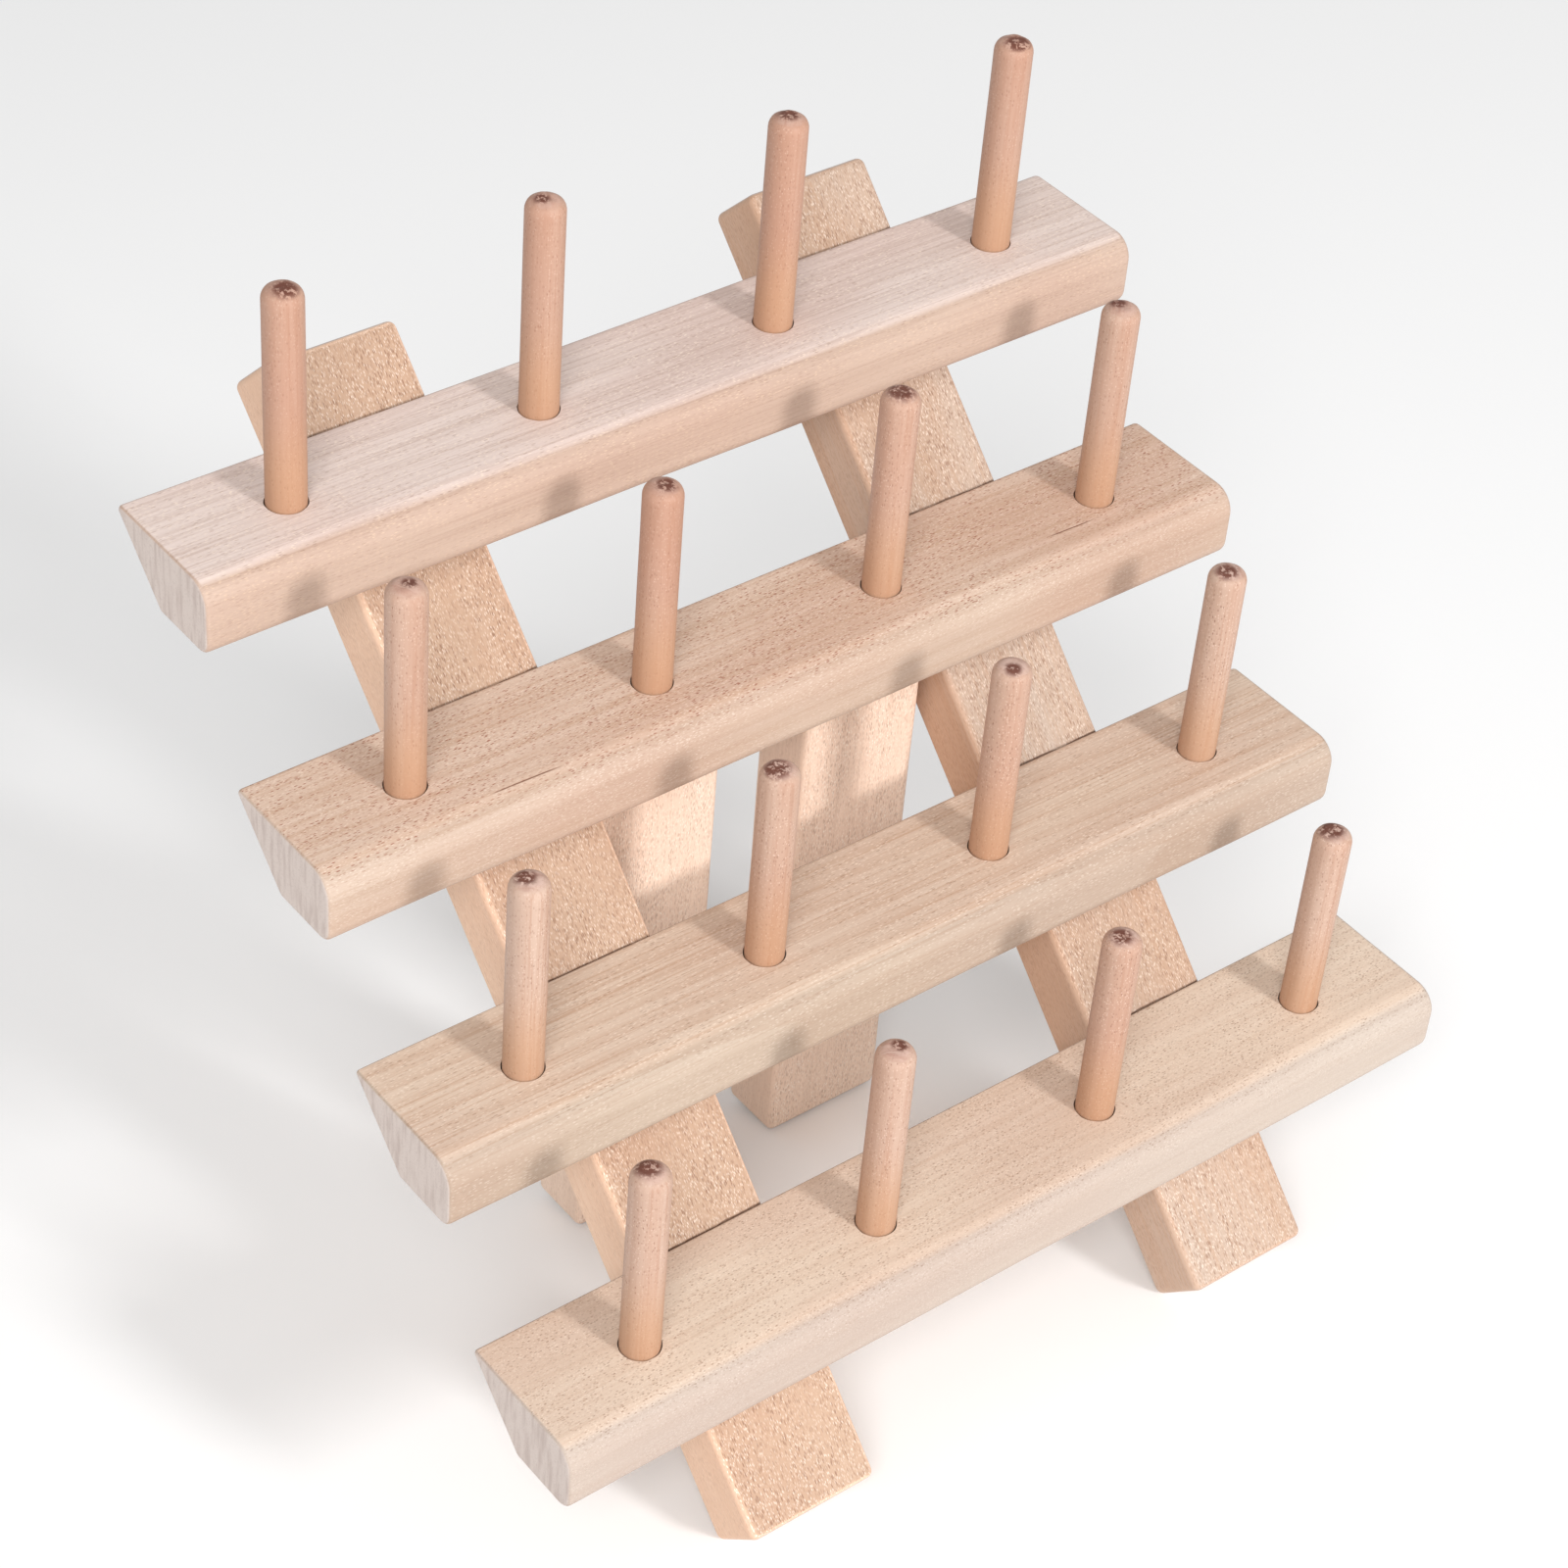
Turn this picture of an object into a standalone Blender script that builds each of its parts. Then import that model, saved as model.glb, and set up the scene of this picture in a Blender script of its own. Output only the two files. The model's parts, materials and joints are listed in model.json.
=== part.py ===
# A folding wooden spool stand. Two leaning stiles carry four stepped rails, each rail
# holds a row of pegs, and a hinged leg behind each stile props the rack up.
#
# The rack is laid out square to its pegs: X runs along the rails, Y to the back and Z
# along the pegs, from the middle of the upper rail's row of pegs. An empty named stand
# then tips it forward until stiles and legs stand on one floor, with the middle of the
# stand's box over the origin.

from math import atan2, cos, pi, radians, sin, tan

import bmesh
import bpy
from mathutils import Matrix, Vector

# Driving sizes, in metres
RAIL_COUNT = 4
PEGS_PER_RAIL = 4
PEG_SPACING = 0.050            # from peg to peg along a rail
RAIL_PITCH = 0.050             # from rail to rail along the stiles
LEAN = radians(45)             # between the stiles and the pegs

RAIL_OVERHANG = 0.0234         # outermost peg to the rail's end
RAIL_THICKNESS = 0.014
PEG_TO_FRONT = 0.0135          # peg's centre to the rail's front face
PEG_TO_BACK = 0.0153           # peg's centre to the rail's upper back edge
RAIL_TOP_ROUND = 0.0045        # upper front edge
RAIL_LOWER_ROUND = 0.003       # lower front edge
RAIL_HEEL_ROUND = 0.0015       # lower back edge
RAIL_EDGE = 0.0006             # broken edge round the rail's ends

PEG_DIAMETER = 0.0071
PEG_EXPOSED = 0.0415           # peg above the rail
PEG_TIP_ROUND = 0.0024
PEG_FOOT_CHAMFER = 0.0005
SOCKET_COVER = 0.00145         # wood left under a peg's socket

STILE_WIDTH = 0.0265
STILE_THICKNESS = 0.014
STILE_SPACING = 0.102          # from the middle of one stile to the other's
STILE_ABOVE = 0.0128           # stile above the upper rail's back edge
STILE_BELOW = 0.0523           # stile below the lowest rail's back edge

LEG_WIDTH = 0.0265
LEG_REACH = 0.1073             # pivot to foot
LEG_OPENING = radians(45)      # between a stile and its open leg
PIVOT_RAIL = 1                 # the legs bear on this rail, counted from 0 at the top
PIVOT_DROP = 0.0018            # pivot below that rail's heel, along the stile
BOARD_EDGE = 0.0015            # rounded edges of stiles and legs

RAIL_SCREW_DIAMETER = 0.0035
RAIL_SCREW_HEAD = 0.007
RAIL_SCREW_SINK = 0.0002       # head below the stile's back
RAIL_SCREW_DOWN = 0.013        # screw below the rail's upper back edge
RAIL_SCREW_COVER = 0.002       # wood left over the screw's point
SCREW_POINT = 0.003            # length of a screw's tapered point

PIVOT_SCREW_DIAMETER = 0.004
PIVOT_SCREW_HEAD = 0.008
PIVOT_SCREW_HEAD_HEIGHT = 0.0026
PIVOT_SCREW_BITE = 0.016       # screw inside the stile
WASHER_DIAMETER = 0.010
WASHER_THICKNESS = 0.001

# Clearances
SEAT_GAP = 0.0003              # between pieces that touch
FOLD_CLEARANCE = 0.0005        # between a leg and the backs of the rails
PIVOT_CLEARANCE = 0.0004       # between a leg and its screw, all round

CUT_PAST = 0.002               # cutters run this far past a surface
ARC_STEPS = 4
PEG_SIDES = 18
SCREW_SIDES = 12
SMOOTH_BELOW = radians(32)

SIDES = {"left": -1, "right": 1}

FINISHES = {                   # colour, roughness, metallic
    "rail_wood": ((0.72, 0.53, 0.39, 1), 0.60, 0),
    "stile_wood": ((0.74, 0.56, 0.41, 1), 0.62, 0),
    "leg_wood": ((0.73, 0.55, 0.40, 1), 0.62, 0),
    "peg_wood": ((0.66, 0.41, 0.28, 1), 0.58, 0),
    "plated_steel": ((0.62, 0.60, 0.55, 1), 0.35, 1),
}

# Derived sizes
rail_length = PEG_SPACING * (PEGS_PER_RAIL - 1) + 2 * RAIL_OVERHANG
bevel_length = RAIL_THICKNESS / cos(LEAN)
socket_radius = PEG_DIAMETER / 2 + SEAT_GAP
wood_under_peg = min(RAIL_THICKNESS, (PEG_TO_BACK - socket_radius) / tan(LEAN))
socket_depth = wood_under_peg - SOCKET_COVER
peg_length = PEG_EXPOSED + socket_depth - SEAT_GAP
stile_top = STILE_ABOVE
stile_bottom = -(RAIL_PITCH * (RAIL_COUNT - 1) + STILE_BELOW)
leg_thickness = STILE_THICKNESS + 2 * (SEAT_GAP - FOLD_CLEARANCE)
leg_turn = LEG_OPENING - LEAN
leg_side_gap = WASHER_THICKNESS + 2 * SEAT_GAP
rail_screw_bite = RAIL_SCREW_DOWN / tan(LEAN) - RAIL_SCREW_COVER
stile_inner_face = (STILE_SPACING - STILE_WIDTH) / 2


def turn_about_x(angle):
    return Matrix.Rotation(angle, 3, "X")


# A stile's own Z runs up its length, and its front face is its plane Y = 0.
stile_turn = turn_about_x(-LEAN)
stile_origin = Vector((0, PEG_TO_BACK, 0)) + stile_turn @ Vector((0, SEAT_GAP, 0))
pivot_down = RAIL_PITCH * PIVOT_RAIL + bevel_length + PIVOT_DROP
pivot = stile_origin + stile_turn @ Vector((0, STILE_THICKNESS / 2, -pivot_down))


def clear_scene():
    for thing in list(bpy.data.objects):
        bpy.data.objects.remove(thing, do_unlink=True)


# --- Shapes -------------------------------------------------------------------------

def corner_arc(before, corner, after, radius):
    # Points of the arc that rounds one corner of an outline
    back = (before - corner).normalized()
    ahead = (after - corner).normalized()
    half = back.angle(ahead) / 2
    centre = corner + (back + ahead).normalized() * radius / sin(half)
    start = corner + back * radius / tan(half) - centre
    sweep = pi - 2 * half
    if back.x * ahead.y - back.y * ahead.x > 0:
        sweep = -sweep
    return [centre + Matrix.Rotation(sweep * step / ARC_STEPS, 2) @ start
            for step in range(ARC_STEPS + 1)]


def rounded_outline(corners):
    # Corners are (y, z, radius), in order round the outline
    points = [Vector(corner[:2]) for corner in corners]
    outline = []
    for index, (_, _, radius) in enumerate(corners):
        before, after = points[index - 1], points[(index + 1) % len(points)]
        if radius:
            outline += corner_arc(before, points[index], after, radius)
        else:
            outline.append(points[index])
    return outline


def prism(name, outline, width):
    # An outline in Y and Z, given thickness along X on both sides of X = 0
    shape = bmesh.new()
    face = shape.faces.new([shape.verts.new((-width / 2, y, z)) for y, z in outline])
    side = bmesh.ops.extrude_face_region(shape, geom=[face])
    moved = [item for item in side["geom"] if isinstance(item, bmesh.types.BMVert)]
    bmesh.ops.translate(shape, verts=moved, vec=(width, 0, 0))
    return finished_mesh(name, shape)


def turned(name, outline, sides):
    # (radius, height) pairs spun about Z; a ring's outline never meets the axis
    shape = bmesh.new()
    points = [shape.verts.new((radius, 0, height)) for radius, height in outline]
    pairs = list(zip(points, points[1:]))
    if all(radius > 0 for radius, _ in outline):
        pairs.append((points[-1], points[0]))
    edges = [shape.edges.new(pair) for pair in pairs]
    bmesh.ops.spin(shape, geom=points + edges, cent=(0, 0, 0), axis=(0, 0, 1),
                   angle=2 * pi, steps=sides)
    bmesh.ops.remove_doubles(shape, verts=shape.verts, dist=1e-6)
    return finished_mesh(name, shape)


def finished_mesh(name, shape):
    bmesh.ops.recalc_face_normals(shape, faces=shape.faces)
    mesh = bpy.data.meshes.new(name)
    shape.to_mesh(mesh)
    shape.free()
    mesh.shade_smooth()
    mesh.set_sharp_from_angle(angle=SMOOTH_BELOW)
    return mesh


def place(name, mesh, parent, location=(0, 0, 0), turn=None):
    thing = bpy.data.objects.new(name, mesh)
    bpy.context.collection.objects.link(thing)
    thing.parent = parent
    thing.location = location
    if turn:
        thing.rotation_euler = turn.to_euler()
    return thing


def paint(piece, finish):
    colour, roughness, metallic = FINISHES[finish]
    material = bpy.data.materials.new(piece.name + "_" + finish)
    material.use_nodes = True
    shader = material.node_tree.nodes["Principled BSDF"]
    shader.inputs["Base Color"].default_value = colour
    shader.inputs["Roughness"].default_value = roughness
    shader.inputs["Metallic"].default_value = metallic
    slot_owner = piece.data
    if not slot_owner.materials:
        slot_owner.materials.append(None)
    piece.material_slots[0].link = "OBJECT"
    piece.material_slots[0].material = material


def break_edges(piece, width, segments):
    bevel = piece.modifiers.new("broken_edges", "BEVEL")
    bevel.width = width
    bevel.segments = segments
    bevel.limit_method = "ANGLE"
    bevel.angle_limit = radians(40)


def cut(piece, cutter):
    cutter.hide_render = True
    cutter.display_type = "WIRE"
    boolean = piece.modifiers.new(cutter.name, "BOOLEAN")
    boolean.operation = "DIFFERENCE"
    boolean.solver = "EXACT"
    boolean.object = cutter


def drill(radius, low, high, sides=SCREW_SIDES):
    return [(0, low), (radius, low), (radius, high), (0, high)]


# --- Pegs ---------------------------------------------------------------------------

def peg_mesh():
    # Z = 0 is the rail's upper face; the end is rounded over to a small flat
    radius = PEG_DIAMETER / 2
    foot = PEG_EXPOSED - peg_length
    outline = [(0, foot), (radius - PEG_FOOT_CHAMFER, foot), (radius, foot + PEG_FOOT_CHAMFER)]
    for step in range(ARC_STEPS + 1):
        angle = pi / 2 * step / ARC_STEPS
        outline.append((radius - PEG_TIP_ROUND * (1 - cos(angle)),
                        PEG_EXPOSED - PEG_TIP_ROUND * (1 - sin(angle))))
    outline.append((0, PEG_EXPOSED))
    return turned("peg", outline, PEG_SIDES)


def peg_places():
    first = -PEG_SPACING * (PEGS_PER_RAIL - 1) / 2
    return [first + PEG_SPACING * index for index in range(PEGS_PER_RAIL)]


# --- Screws and washers -------------------------------------------------------------

def rail_screw_outline(slack, head_past):
    # Z = 0 is the rail's bevel, and the head is sunk in the stile's back
    shank = RAIL_SCREW_DIAMETER / 2 + slack
    head = RAIL_SCREW_HEAD / 2 + slack
    top = SEAT_GAP + STILE_THICKNESS - RAIL_SCREW_SINK
    cone = head - shank
    return [(0, -rail_screw_bite - slack), (shank / 3, -rail_screw_bite - slack),
            (shank, SCREW_POINT - rail_screw_bite), (shank, top - cone),
            (head, top), (head, top + head_past), (0, top + head_past)]


def pivot_screw_outline():
    # Z = 0 is the stile's inner face, and the head is past the leg and its washer
    shank = PIVOT_SCREW_DIAMETER / 2
    head = PIVOT_SCREW_HEAD / 2
    seat = leg_side_gap + LEG_WIDTH + WASHER_THICKNESS + 2 * SEAT_GAP
    top = seat + PIVOT_SCREW_HEAD_HEIGHT
    return [(0, -PIVOT_SCREW_BITE), (shank / 3, -PIVOT_SCREW_BITE),
            (shank, SCREW_POINT - PIVOT_SCREW_BITE), (shank, seat), (head, seat),
            (head, seat + PIVOT_SCREW_HEAD_HEIGHT / 2), (head * 0.75, top - 0.0003), (0, top)]


def washer_outline(low):
    inner = PIVOT_SCREW_DIAMETER / 2 + SEAT_GAP
    outer = WASHER_DIAMETER / 2
    high = low + WASHER_THICKNESS
    return [(inner, low), (outer, low), (outer, high), (inner, high)]


# --- The stand ----------------------------------------------------------------------

def make_rail(index, stand):
    heel = PEG_TO_BACK - RAIL_THICKNESS * tan(LEAN)
    outline = rounded_outline([
        (PEG_TO_BACK, 0, 0),
        (heel, -RAIL_THICKNESS, RAIL_HEEL_ROUND),
        (-PEG_TO_FRONT, -RAIL_THICKNESS, RAIL_LOWER_ROUND),
        (-PEG_TO_FRONT, 0, RAIL_TOP_ROUND)])
    name = f"rail_{index + 1}"
    down = RAIL_PITCH * index
    rail = place(name, prism(name, outline, rail_length), stand,
                 (0, -down * sin(LEAN), -down * cos(LEAN)))
    paint(rail, "rail_wood")
    break_edges(rail, RAIL_EDGE, 1)

    socket = turned("socket", drill(socket_radius, -socket_depth, CUT_PAST), PEG_SIDES)
    peg = peg_mesh()
    for number, across in enumerate(peg_places(), 1):
        cut(rail, place(f"socket_{index + 1}_{number}", socket, rail, (across, 0, 0)))
        paint(place(f"peg_{index + 1}_{number}", peg, rail, (across, 0, 0)), "peg_wood")
    return rail


def fit_rail_screws(index, rail, stiles):
    # One screw through each stile, square to the rail's bevel
    slant = Vector((0, -sin(LEAN), -cos(LEAN))) * RAIL_SCREW_DOWN
    seat = Vector((0, PEG_TO_BACK, 0)) + slant
    turn = turn_about_x(-(pi / 2 + LEAN))
    screw = turned("rail_screw", rail_screw_outline(0, 0), SCREW_SIDES)
    hole = turned("screw_hole", rail_screw_outline(SEAT_GAP, CUT_PAST), SCREW_SIDES)
    for side, sign in SIDES.items():
        spot = seat + Vector((sign * STILE_SPACING / 2, 0, 0))
        drilled = place(f"screw_hole_{index + 1}_{side}", hole, rail, spot, turn)
        cut(rail, drilled)
        cut(stiles[side], drilled)
        fitted = place(f"rail_screw_{index + 1}_{side}", screw, rail, spot, turn)
        paint(fitted, "plated_steel")


def make_stile(side, stand):
    outline = [Vector((0, stile_bottom)), Vector((STILE_THICKNESS, stile_bottom)),
               Vector((STILE_THICKNESS, stile_top)), Vector((0, stile_top))]
    spot = stile_origin + Vector((SIDES[side] * STILE_SPACING / 2, 0, 0))
    name = f"stile_{side}"
    stile = place(name, prism(name, outline, STILE_WIDTH), stand, spot, stile_turn)
    paint(stile, "stile_wood")
    break_edges(stile, BOARD_EDGE, 3)
    return stile


def make_leg(side, stand):
    # The upper end is mitred, so the open leg bears flat on the rail in front of it
    half = leg_thickness / 2
    outline = [Vector((-half, -LEG_REACH)), Vector((half, -LEG_REACH)),
               Vector((half, half * (1 + cos(LEG_OPENING)) / sin(LEG_OPENING))),
               Vector((-half, half * (1 - cos(LEG_OPENING)) / sin(LEG_OPENING)))]
    inward = stile_inner_face - leg_side_gap - LEG_WIDTH / 2
    spot = pivot + Vector((SIDES[side] * inward, 0, 0))
    name = f"leg_{side}"
    leg = place(name, prism(name, outline, LEG_WIDTH), stand, spot, turn_about_x(leg_turn))
    paint(leg, "leg_wood")
    break_edges(leg, BOARD_EDGE, 3)
    return leg


def fit_pivot(side, leg, stile, stand):
    # Everything on the pivot is measured inward from the stile's inner face
    sign = SIDES[side]
    turn = Matrix.Rotation(-sign * pi / 2, 3, "Y")
    spot = pivot + Vector((sign * stile_inner_face, 0, 0))
    leg_far_face = leg_side_gap + LEG_WIDTH

    radius = PIVOT_SCREW_DIAMETER / 2
    bore = turned("pivot_bore", drill(radius + PIVOT_CLEARANCE, leg_side_gap - CUT_PAST,
                                      leg_far_face + CUT_PAST), SCREW_SIDES)
    cut(leg, place(f"pivot_bore_{side}", bore, stand, spot, turn))
    pilot = turned("pivot_pilot", drill(radius + SEAT_GAP, -PIVOT_SCREW_BITE - SEAT_GAP,
                                        CUT_PAST), SCREW_SIDES)
    cut(stile, place(f"pivot_pilot_{side}", pilot, stand, spot, turn))

    pieces = {
        "pivot_screw": pivot_screw_outline(),
        "spacer_washer": washer_outline(SEAT_GAP),
        "head_washer": washer_outline(leg_far_face + SEAT_GAP),
    }
    for kind, outline in pieces.items():
        mesh = turned(kind, outline, SCREW_SIDES)
        paint(place(f"{kind}_{side}", mesh, stand, spot, turn), "plated_steel")


def forward_tip():
    # The angle that brings the rounded rear edge of the stiles' lower ends and the
    # rounded front edge of the legs' feet down onto one level floor
    inset = BOARD_EDGE
    stile_foot = stile_origin + stile_turn @ Vector(
        (0, STILE_THICKNESS - inset, stile_bottom + inset))
    leg_foot = pivot + turn_about_x(leg_turn) @ Vector(
        (0, inset - leg_thickness / 2, inset - LEG_REACH))
    apart = leg_foot - stile_foot
    return -atan2(apart.z, apart.y)


def centre_on_floor(stand):
    bpy.context.view_layer.update()
    graph = bpy.context.evaluated_depsgraph_get()
    points = [thing.matrix_world @ vertex.co
              for thing in bpy.data.objects
              if thing.type == "MESH" and not thing.hide_render
              for vertex in thing.evaluated_get(graph).data.vertices]
    low = [min(point[axis] for point in points) for axis in range(3)]
    high = [max(point[axis] for point in points) for axis in range(3)]
    stand.location -= Vector(((low[0] + high[0]) / 2, (low[1] + high[1]) / 2, low[2]))
    bpy.context.view_layer.update()


def build():
    clear_scene()
    stand = place("stand", None, None)
    stand.rotation_euler = (forward_tip(), 0, 0)
    stiles = {side: make_stile(side, stand) for side in SIDES}
    for index in range(RAIL_COUNT):
        fit_rail_screws(index, make_rail(index, stand), stiles)
    for side in SIDES:
        fit_pivot(side, make_leg(side, stand), stiles[side], stand)
    centre_on_floor(stand)


build()
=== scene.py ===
# Finished looks for the folding spool stand: sanded beech boards, turned pegs and
# plated screws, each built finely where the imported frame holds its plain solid.

import json
from math import cos, pi, radians, sin, tan

import bmesh
import bpy
from mathutils import Matrix, Vector, noise


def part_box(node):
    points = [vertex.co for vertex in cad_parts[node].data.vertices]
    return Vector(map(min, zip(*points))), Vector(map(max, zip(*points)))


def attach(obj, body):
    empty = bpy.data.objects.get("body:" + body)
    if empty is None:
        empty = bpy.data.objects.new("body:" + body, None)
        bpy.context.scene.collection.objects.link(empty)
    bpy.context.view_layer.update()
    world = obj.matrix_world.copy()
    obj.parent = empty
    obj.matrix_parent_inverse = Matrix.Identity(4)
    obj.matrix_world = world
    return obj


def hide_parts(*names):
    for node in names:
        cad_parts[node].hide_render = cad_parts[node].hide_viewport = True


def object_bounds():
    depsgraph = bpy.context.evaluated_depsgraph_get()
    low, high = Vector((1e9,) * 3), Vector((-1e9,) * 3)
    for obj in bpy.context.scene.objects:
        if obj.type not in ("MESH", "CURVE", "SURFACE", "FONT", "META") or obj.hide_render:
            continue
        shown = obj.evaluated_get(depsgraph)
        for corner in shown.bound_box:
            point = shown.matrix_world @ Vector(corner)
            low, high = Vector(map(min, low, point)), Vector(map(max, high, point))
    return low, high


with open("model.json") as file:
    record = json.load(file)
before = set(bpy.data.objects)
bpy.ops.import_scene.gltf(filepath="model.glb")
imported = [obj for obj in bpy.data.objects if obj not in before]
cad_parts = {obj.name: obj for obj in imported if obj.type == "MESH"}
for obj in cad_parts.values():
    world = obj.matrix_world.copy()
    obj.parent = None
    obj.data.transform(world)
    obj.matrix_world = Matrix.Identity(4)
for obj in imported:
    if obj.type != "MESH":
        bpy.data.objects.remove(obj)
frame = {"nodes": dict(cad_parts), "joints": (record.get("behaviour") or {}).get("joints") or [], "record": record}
cadLow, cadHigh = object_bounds()
record = frame["record"]
mounts = {mount["name"]: mount for mount in record["mounts"]}
bodyOf = {node: body for body, nodes in record["behaviour"]["bodies"].items() for node in nodes}
print("frame:", len(frame["nodes"]), "nodes")

railNumbers = range(1, 5)      # from the top
pegNumbers = range(1, 5)       # from the left


def railSeat(rail):
    # Middle of the rail's row of pegs, on its top face
    return Vector(mounts[f"spool_seat_{rail}"]["pos_m"])


def pivotPlace(side):
    joint = next(joint for joint in frame["joints"] if joint["name"] == f"{side}_leg_fold")
    return Vector(joint["pos_m"])


def middleAcross(node):
    low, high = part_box(node)
    return (low.x + high.x) / 2


# The rack's own axes: rails along X, pegs along rackUp, from the middle of the top rail
rackUp = Vector(mounts["spool_seat_1"]["axis"]).normalized()
rackBack = rackUp.cross(Vector((1, 0, 0)))
stileBack = Vector(mounts["stile_back_left"]["axis"]).normalized()
stileUp = Vector((1, 0, 0)).cross(stileBack)
lean = rackUp.angle(stileUp)


def axesAt(origin, back, up):
    turned = Matrix((Vector((1, 0, 0)), back, up)).transposed().to_4x4()
    return Matrix.Translation(origin) @ turned


rackAxes = axesAt(railSeat(1), rackBack, rackUp)


cameraSettings = {
    "place": (-0.34450, -0.43999, 0.37713),   # in the rack's axes
    "target": (0.03885, 0, -0.12933),
    "roll": 0.0921,
    "lens": 89.08,
    "sensor": 36,
    "shiftUp": 0.0405,
    "nearest": 0.02,
    "farthest": 20,
}


def makeCamera():
    data = bpy.data.cameras.new("standCamera")
    data.sensor_width = cameraSettings["sensor"]
    data.lens = cameraSettings["lens"]
    data.shift_y = cameraSettings["shiftUp"]
    data.clip_start = cameraSettings["nearest"]
    data.clip_end = cameraSettings["farthest"]
    camera = bpy.data.objects.new("standCamera", data)
    bpy.context.scene.collection.objects.link(camera)
    place = Vector(cameraSettings["place"])
    ahead = (Vector(cameraSettings["target"]) - place).normalized()
    right = ahead.cross(Vector((0, 0, 1))).normalized()
    up = right.cross(ahead)
    roll = cameraSettings["roll"]
    rolledRight = right * cos(roll) + up * sin(roll)
    rolledUp = up * cos(roll) - right * sin(roll)
    turned = Matrix((rolledRight, rolledUp, -ahead)).transposed().to_4x4()
    camera.matrix_world = rackAxes @ Matrix.Translation(place) @ turned
    bpy.context.scene.camera = camera


lightSettings = {
    "keyFrom": (0.16, -0.86, 0.49),    # direction to the key light, in the rack's axes
    "keyDistance": 2.4,
    "keySize": 0.38,
    "keyPower": 34,
    "fillFrom": (-0.54, -0.54, 0.65),
    "fillDistance": 2.5,
    "fillSize": 1.1,
    "fillPower": 35,
    "world": 0.52,
    "floor": 0.98,
    "floorRoughness": 0.9,
    "floorShine": 0.1,
    "floorRadius": 4,
    "floorDrop": 0.0002,               # below the feet
}


def areaLight(name, place, target, size, power):
    data = bpy.data.lights.new(name, "AREA")
    data.shape = "DISK"
    data.size = size
    data.energy = power
    light = bpy.data.objects.new(name, data)
    bpy.context.scene.collection.objects.link(light)
    light.location = place
    light.rotation_euler = (place - target).to_track_quat("Z", "Y").to_euler()


def makeLights():
    centre = (cadLow + cadHigh) / 2
    for kind in ("key", "fill"):
        towards = rackAxes.to_3x3() @ Vector(lightSettings[kind + "From"]).normalized()
        areaLight(kind + "Light", centre + towards * lightSettings[kind + "Distance"], centre,
                  lightSettings[kind + "Size"], lightSettings[kind + "Power"])


def makeWorld():
    world = bpy.data.worlds.new("softStudio")
    world.use_nodes = True
    background = world.node_tree.nodes["Background"]
    background.inputs["Strength"].default_value = lightSettings["world"]
    background.inputs["Color"].default_value = (1, 1, 1, 1)
    bpy.context.scene.world = world
    bpy.context.scene.view_settings.view_transform = "Standard"


def makeFloor():
    shape = bmesh.new()
    bmesh.ops.create_circle(shape, cap_ends=True, segments=64,
                            radius=lightSettings["floorRadius"])
    mesh = bpy.data.meshes.new("paleFloor")
    shape.to_mesh(mesh)
    shape.free()
    floor = bpy.data.objects.new("paleFloor", mesh)
    bpy.context.scene.collection.objects.link(floor)
    floor.location.z = cadLow.z - lightSettings["floorDrop"]
    material = bpy.data.materials.new("paleFloor")
    material.use_nodes = True
    shader = material.node_tree.nodes["Principled BSDF"]
    shader.inputs["Base Color"].default_value = (lightSettings["floor"],) * 3 + (1,)
    shader.inputs["Roughness"].default_value = lightSettings["floorRoughness"]
    shader.inputs["Specular IOR Level"].default_value = lightSettings["floorShine"]
    mesh.materials.append(material)


makeCamera()
makeLights()
makeWorld()
makeFloor()
print("camera, floor and lights set")


def screenColour(red, green, blue):
    # 0 to 255 as a screen shows it, turned into the shader's own scale
    def toLinear(value):
        value /= 255
        return value / 12.92 if value <= 0.04045 else ((value + 0.055) / 1.055) ** 2.4
    return (toLinear(red), toLinear(green), toLinear(blue), 1)


def feed(tree, socket, value):
    if isinstance(value, bpy.types.NodeSocket):
        tree.links.new(value, socket)
    elif value is not None:
        socket.default_value = value


def calc(tree, operation, first, second=None, clamp=False):
    node = tree.nodes.new("ShaderNodeMath")
    node.operation = operation
    node.use_clamp = clamp
    feed(tree, node.inputs[0], first)
    feed(tree, node.inputs[1], second)
    return node.outputs[0]


def fade(tree, value, low, high, outLow=0.0, outHigh=1.0):
    node = tree.nodes.new("ShaderNodeMapRange")
    node.interpolation_type = "SMOOTHSTEP"
    feed(tree, node.inputs["Value"], value)
    node.inputs["From Min"].default_value = low
    node.inputs["From Max"].default_value = high
    node.inputs["To Min"].default_value = outLow
    node.inputs["To Max"].default_value = outHigh
    return node.outputs["Result"]


def stretched(tree, point, scales, shift=(0, 0, 0)):
    node = tree.nodes.new("ShaderNodeVectorMath")
    node.operation = "MULTIPLY_ADD"
    tree.links.new(point, node.inputs[0])
    node.inputs[1].default_value = scales
    node.inputs[2].default_value = shift
    return node.outputs[0]


def cloud(tree, point, scales, shift=(0, 0, 0), detail=2.0, roughness=0.5):
    node = tree.nodes.new("ShaderNodeTexNoise")
    node.inputs["Scale"].default_value = 1
    node.inputs["Detail"].default_value = detail
    node.inputs["Roughness"].default_value = roughness
    tree.links.new(stretched(tree, point, scales, shift), node.inputs["Vector"])
    return node.outputs["Fac"]


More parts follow.
